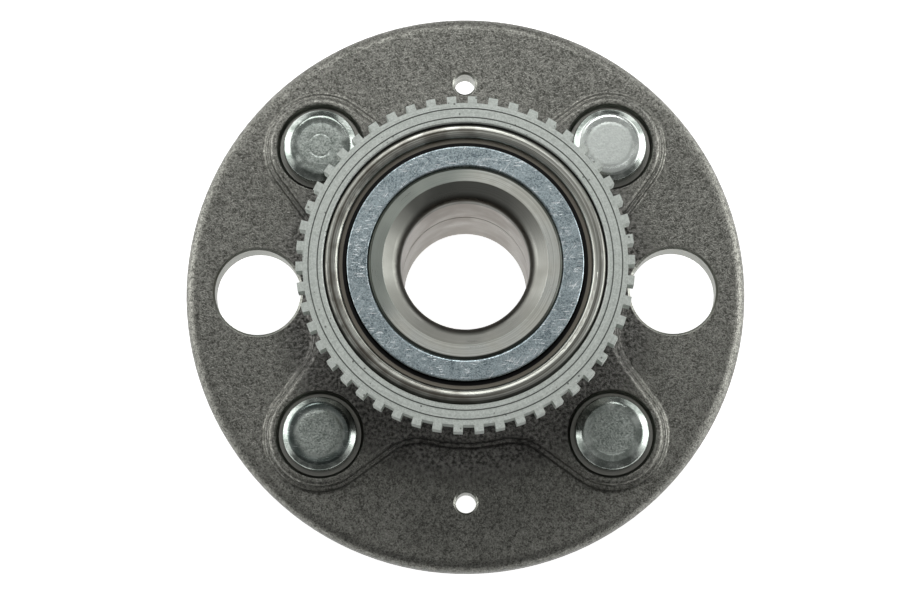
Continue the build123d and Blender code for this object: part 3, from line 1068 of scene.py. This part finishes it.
@dataclass
class WheelStud:
    """Press-in wheel stud, M12 x 1.5: head, press knurl, neck and rolled thread. Millimetres."""

    number: int
    x: float
    y: float
    mark: HeadMark
    columns: int = 96
    thread_r: float = 6.0
    pitch: float = 1.5
    thread_depth: float = 0.92
    thread_end: float = -2.6
    tip_z: float = -33.0
    tip_chamfer: float = 1.4
    knurl_r: float = 6.3
    knurl_depth: float = 0.3
    seat_z: float = 10.5
    head_r: float = 9.0
    head_top: float = 15.5
    chamfer_w: float = 1.8
    chamfer_h: float = 1.3
    under_head_r: float = 0.35
    side_round_r: float = 0.5
    top_round_r: float = 0.45
    thread_crest: float = 0.125
    thread_root: float = 0.25
    thread_fade: float = 0.8
    points_per_pitch: int = 16
    face_margin: float = 0.3
    step_r: float = 5.4
    step_w: float = 0.12
    step_depth: float = 0.10
    pit_depth: float = 0.02
    tiny: float = 1e-6

    def section(self) -> tuple[np.ndarray, np.ndarray]:
        """Work out the section, from the tip's centre to the head's centre.

        It is a chain of straight runs. Each corner of the head is a quadratic curve that starts
        and ends one rounding radius from the corner. cut() cuts the thread and the knurl.

        Returns:
            Radius and height of each point.
        """
        thread_z = np.arange(self.tip_z + self.tip_chamfer, 0.0, self.pitch / self.points_per_pitch)
        tip_r = self.thread_r - self.tip_chamfer
        chamfer_z = np.linspace(self.tip_z, self.tip_z + self.tip_chamfer, 16)
        chain = [
            run(np.linspace(tip_r * 0.25, tip_r, 6), self.tip_z),
            run(np.linspace(tip_r, self.thread_r, 16), chamfer_z)[1:],
            run(self.thread_r, thread_z)[1:],
            run(self.knurl_r, np.linspace(0.0, self.seat_z, 9)),
        ]
        side_z = self.head_top - self.chamfer_h
        top_r = self.head_r - self.chamfer_w
        corners = (
            (self.head_r, self.seat_z, self.under_head_r),
            (self.head_r, side_z, self.side_round_r),
            (top_r, self.head_top, self.top_round_r),
        )
        before = np.array([self.knurl_r, self.seat_z])
        after_points = [np.array(c[:2]) for c in corners[1:]] + [np.array([0.0, self.head_top])]
        for (radius, height, round_r), after in zip(corners, after_points):
            corner = np.array([radius, height])
            into = (corner - before) / np.linalg.norm(corner - before)
            out = (after - corner) / np.linalg.norm(after - corner)
            share = np.linspace(0, 1, 7)[:, None]
            start, end = corner - into * round_r, corner + out * round_r
            chain.append((1 - share) ** 2 * start + 2 * share * (1 - share) * corner + share**2 * end)
            before = corner
        chain.append(run(np.linspace(top_r - 0.5, 0.12, 56), self.head_top))
        line = np.concatenate(chain)
        return line[:, 0], line[:, 1]

    def cut(self, radius: np.ndarray, height: np.ndarray, angle: np.ndarray) -> np.ndarray:
        """Cut thread and knurl into the section.

        The thread's depth is a trapezium wave of height / pitch - angle / 2 pi. Crest and root
        are shares of the pitch, and it fades out over thread_fade pitches at its inner end. The
        knurl is a zigzag from column to column.

        Args:
            radius: Radius of each grid point.
            height: Height of each grid point.
            angle: Angle of each grid point.

        Returns:
            The radius after cutting.
        """
        wave = np.abs(np.mod(height / self.pitch - angle / (2 * np.pi), 1.0) - 0.5)
        crest, root = self.thread_crest / 2, self.thread_root / 2
        flank = np.clip((wave - crest) / (0.5 - crest - root), 0, 1)
        fade = np.clip((self.thread_end - height) / (self.thread_fade * self.pitch), 0, 1)
        cone = self.thread_r - self.tip_chamfer + (height - self.tip_z)
        threaded = np.minimum(self.thread_r - self.thread_depth * flank * fade, cone)
        on_thread = (height < 0) & (height > self.tip_z + self.tiny)
        radius = np.where(on_thread, np.minimum(radius, threaded), radius)
        zigzag = np.where(np.arange(radius.shape[1]) % 2 == 0, 0.0, self.knurl_depth)
        at_knurl_r = np.abs(radius - self.knurl_r) < self.tiny
        on_knurl = at_knurl_r & (height >= 0) & (height <= self.seat_z - self.tiny)
        return np.where(on_knurl, radius - zigzag[None, :], radius)

    def stamp(self, radius: np.ndarray, height: np.ndarray, angle: np.ndarray) -> np.ndarray:
        """Press the die's mark into the head's top face.

        The depth is the sum of the mark's ring-shaped dips. STEP adds a sunk middle with an
        S-shaped edge, and PITS adds the raised half of a product of two wandering sine waves.

        Args:
            radius: Radius of each grid point.
            height: Height of each grid point.
            angle: Angle of each grid point.

        Returns:
            The height with the mark.
        """
        face_r = self.head_r - self.chamfer_w - self.face_margin
        face = (height > self.head_top - self.tiny) & (radius < face_r)
        dip = sum(ring.at(radius) for ring in self.mark.value)
        if self.mark is HeadMark.STEP:
            dip = dip + self.step_depth / (1 + np.exp((radius - self.step_r) / self.step_w))
        elif self.mark is HeadMark.PITS:
            pits = np.sin(3.1 * radius + 2 * np.sin(3 * angle)) * np.sin(5 * angle + radius)
            dip = dip + self.pit_depth * np.maximum(0, pits)
        return np.where(face, height - dip, height)

    def build(self, zinc: bpy.types.Material) -> bpy.types.Object:
        """Build the stud.

        Args:
            zinc: Its finish.

        Returns:
            The piece, riding on the hub in place of its CAD node.
        """
        section_r, section_z = self.section()
        turn = np.arange(self.columns) * (2 * np.pi / self.columns)
        radius, angle = np.meshgrid(section_r, turn, indexing="ij")
        height = np.repeat(section_z[:, None], self.columns, axis=1)
        radius = self.cut(radius, height, angle)
        height = self.stamp(radius, height, angle)
        x, y = self.x + radius * np.cos(angle), self.y + radius * np.sin(angle)
        grid = np.stack([x, y, height], axis=-1)
        ends = np.array([[self.x, self.y, self.tip_z], [self.x, self.y, height[-1].mean()]])
        points = np.concatenate([grid.reshape(-1, 3), ends]) * MM
        quads, triangles = lathe_faces(len(section_r), self.columns)
        piece = mesh_object(f"stud_{self.number}", points, quads, triangles)
        piece.data.set_sharp_from_angle(angle=np.radians(32))
        piece.data.materials.append(zinc)
        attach(piece, "hub")
        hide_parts(f"wheel_stud_{self.number}")
        return piece


# ---------------------------------------------------------------- the assembly


@dataclass
class HubUnit:
    """The whole unit: gives every CAD node its finish and adds the detailed pieces."""

    effects: Effects
    stud_place: float = 35.3553
    marks: tuple[HeadMark, ...] = (HeadMark.FLAT, HeadMark.RING, HeadMark.PITS, HeadMark.STEP)
    finishes: dict[str, bpy.types.Material] = field(default_factory=dict)

    def mix_finishes(self) -> None:
        """Build one material for each slot of the record."""
        kinds: Sequence[Finish] = (
            HubForging("hub_forging"),
            SpeedRingCoat("speed_ring_steel"),
            StudZinc("stud_zinc"),
            SpindleRingSteel("bearing_steel"),
            PlainCoat("cage_nylon", srgb(196, 190, 170), Tint(srgb(170, 160, 138), 0.5), rough=0.5),
            ZincPlate("slinger_zinc"),
            TurnedSteel("case_steel"),
            PlainCoat(
                "seal_rubber", srgb(9, 9, 9), Tint(srgb(18, 18, 18), 0.5), gloss=0.15, rim_r=28.5
            ),
            TurnedSteel(
                "ball_steel", srgb(200, 200, 198), srgb(190, 190, 188), rough=0.08, ring_depth=0.0
            ),
        )
        for kind in kinds:
            self.finishes[kind.name] = kind.dress(self.effects)

    def dress_nodes(self) -> None:
        """Give each CAD node the finish of its slot."""
        for name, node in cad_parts.items():
            slot = node.data.materials[0].name.split(".")[0]
            node.data.materials[0] = self.finishes[slot]
            log.info("dressed %s with %s", name, slot)

    def add_studs(self) -> None:
        """Build the four wheel studs."""
        signs = ((1, 1), (-1, 1), (-1, -1), (1, -1))
        for number, ((x, y), mark) in enumerate(zip(signs, self.marks), start=1):
            stud = WheelStud(number, x * self.stud_place, y * self.stud_place, mark)
            piece = stud.build(self.finishes["stud_zinc"])
            log.info("built %s with %d faces", piece.name, len(piece.data.polygons))


# ---------------------------------------------------------------- studio


@dataclass(frozen=True)
class Lamp:
    """A square soft lamp: its name, place and side in metres, and power in watts."""

    name: str
    place: tuple[float, float, float]
    size: float
    watts: float

    def hang(self) -> None:
        """Hang the lamp so that it points at the unit."""
        lamp = bpy.data.lights.new(self.name, "AREA")
        lamp.shape = "SQUARE"
        lamp.size = self.size
        lamp.energy = self.watts
        item = bpy.data.objects.new(self.name, lamp)
        item.location = Vector(self.place)
        towards = Vector((0, 0, 0.02)) - Vector(self.place)
        item.rotation_euler = towards.to_track_quat("-Z", "Y").to_euler()
        bpy.context.scene.collection.objects.link(item)


@dataclass
class Studio:
    """Plain floor, soft lamps, a white surround and the camera.

    A level is a pair: its lower and its upper value, between which a mask chooses.
    """

    floor_z: float = -0.0332
    floor_size: float = 3.0
    floor_glow: float = 0.8
    floor_mirrored: tuple[float, float] = (0.5, 1.2)
    wall_level: tuple[float, float] = (0.16, 0.205)
    side_level: float = 0.62
    overhead_level: float = 0.36
    low_level: tuple[float, float] = (0.14, 1.9)
    soft_level: tuple[float, float] = (0.14, 0.52)
    soft_sides: float = 0.10
    lamps: tuple[Lamp, ...] = (
        Lamp("back_lamp", (-0.06, 0.70, 0.84), 0.6, 4.45),
        Lamp("left_lamp", (-0.95, 0.25, 0.30), 0.7, 2.7),
        Lamp("right_lamp", (0.95, 0.10, 0.30), 0.7, 4.7),
    )
    elevation: float = 81.68
    azimuth: float = 1.73
    distance: float = 0.8031
    aim: tuple[float, float, float] = (-0.00368, -0.00471, 0.027)
    roll: float = -0.12
    lens: float = 134.36

    def add_floor(self) -> None:
        """Lay a pale floor that still shows the object's shadow and is clear from below."""
        half = self.floor_size / 2
        corners = np.array([[-half, -half], [half, -half], [half, half], [-half, half]])
        points = np.column_stack([corners, np.full(4, self.floor_z)])
        floor = mesh_object("floor", points, np.array([[0, 1, 2, 3]]), np.zeros((0, 3), dtype=int))
        material = bpy.data.materials.new("pale_floor")
        graph = clear_graph(material)
        plain = graph.node("BsdfDiffuse")
        plain.inputs["Color"].default_value = (0.9, 0.9, 0.9, 1)
        glow = graph.node("Emission")
        glow.inputs["Color"].default_value = (1, 1, 1, 1)
        across = graph.split(graph.node("TexCoord").outputs["Object"])[0]
        beside = graph.step(graph.math("ABSOLUTE", across), 0.05, 0.12)
        glossy = graph.node("LightPath").outputs["Is Glossy Ray"]
        mirrored = graph.times(glossy, graph.blend(beside, *self.floor_mirrored))
        shown = graph.math("MAXIMUM", self.seen(graph), mirrored)
        graph.feed(glow.inputs["Strength"], graph.times(shown, self.floor_glow))
        both = graph.node("AddShader")
        graph.feed(both.inputs[0], plain.outputs[0])
        graph.feed(both.inputs[1], glow.outputs[0])
        sheer = graph.node("MixShader")
        graph.feed(sheer.inputs[0], graph.node("NewGeometry").outputs["Backfacing"])
        graph.feed(sheer.inputs[1], both.outputs[0])
        graph.feed(sheer.inputs[2], graph.node("BsdfTransparent").outputs[0])
        output = graph.node("OutputMaterial")
        graph.feed(output.inputs["Surface"], sheer.outputs[0])
        floor.data.materials.append(material)

    def seen(self, graph: Graph) -> Socket:
        """Return 1 for rays that show the surround as it is: camera and glass rays."""
        path = graph.node("LightPath").outputs
        return graph.math("MAXIMUM", path["Is Camera Ray"], path["Is Transmission Ray"])

    def add_surround(self) -> None:
        """White surround where it is seen, a plain level of light elsewhere.

        Mirror rays see a light tent: white low down at both sides, bright side walls, and dimmer
        in front, behind and overhead.
        """
        world = bpy.data.worlds.new("surround")
        graph = clear_graph(world)
        across, along, up = graph.split(graph.node("TexCoord").outputs["Generated"])
        beside = graph.step(graph.math("ABSOLUTE", across), 0.24, 0.62)
        sides = graph.times(beside, graph.step(along, -0.62, -0.12))
        behind = graph.step(along, -0.45, 0.65)
        ends = graph.blend(behind, *self.wall_level)
        walls = graph.math("MAXIMUM", ends, graph.times(sides, self.side_level))
        tent = graph.blend(graph.step(up, 0.90, 0.975), walls, self.overhead_level)
        near_floor = graph.step(up, 0.30, 0.44, 1.0, 0.0)
        low = graph.times(near_floor, graph.blend(sides, *self.low_level))
        tent = graph.math("MAXIMUM", tent, low)
        soft = graph.blend(behind, *self.soft_level)
        soft = graph.math("ADD", soft, graph.times(sides, self.soft_sides))
        level = graph.blend(graph.node("LightPath").outputs["Is Glossy Ray"], soft, tent)
        background = graph.node("Background")
        background.inputs["Color"].default_value = (1, 1, 1, 1)
        graph.feed(background.inputs["Strength"], graph.blend(self.seen(graph), level, 1.0))
        output = graph.node("OutputWorld")
        graph.feed(output.inputs["Surface"], background.outputs[0])
        bpy.context.scene.world = world

    def add_camera(self) -> None:
        """Set the camera, a little towards the lower side of the spindle axis."""
        rise, turn, roll = (np.radians(value) for value in (self.elevation, self.azimuth, self.roll))
        away = np.array([np.sin(turn) * np.cos(rise), -np.cos(turn) * np.cos(rise), np.sin(rise)])
        place = np.array(self.aim) + self.distance * away
        right = np.cross(-away, [0.0, 1.0, 0.0])
        right /= np.linalg.norm(right)
        up = np.cross(right, -away)
        right, up = np.cos(roll) * right + np.sin(roll) * up, np.cos(roll) * up - np.sin(roll) * right
        data = bpy.data.cameras.new("view")
        data.sensor_width = 36.0
        data.lens = self.lens
        data.clip_start = 0.01
        data.clip_end = 20.0
        camera = bpy.data.objects.new("view", data)
        bpy.context.scene.collection.objects.link(camera)
        matrix = np.eye(4)
        matrix[:3] = np.column_stack([right, up, away, place])
        camera.matrix_world = Matrix(matrix.tolist())
        bpy.context.scene.camera = camera

    def build(self) -> None:
        """Set up floor, surround, lamps, camera and view."""
        self.add_floor()
        self.add_surround()
        for lamp in self.lamps:
            lamp.hang()
        self.add_camera()
        bpy.context.scene.view_settings.view_transform = "Standard"


def main() -> None:
    """Build the dressed unit and its studio."""
    unit = HubUnit(Effects())
    unit.mix_finishes()
    unit.dress_nodes()
    unit.add_studs()
    Studio().build()


if __name__ == "__main__":
    main()
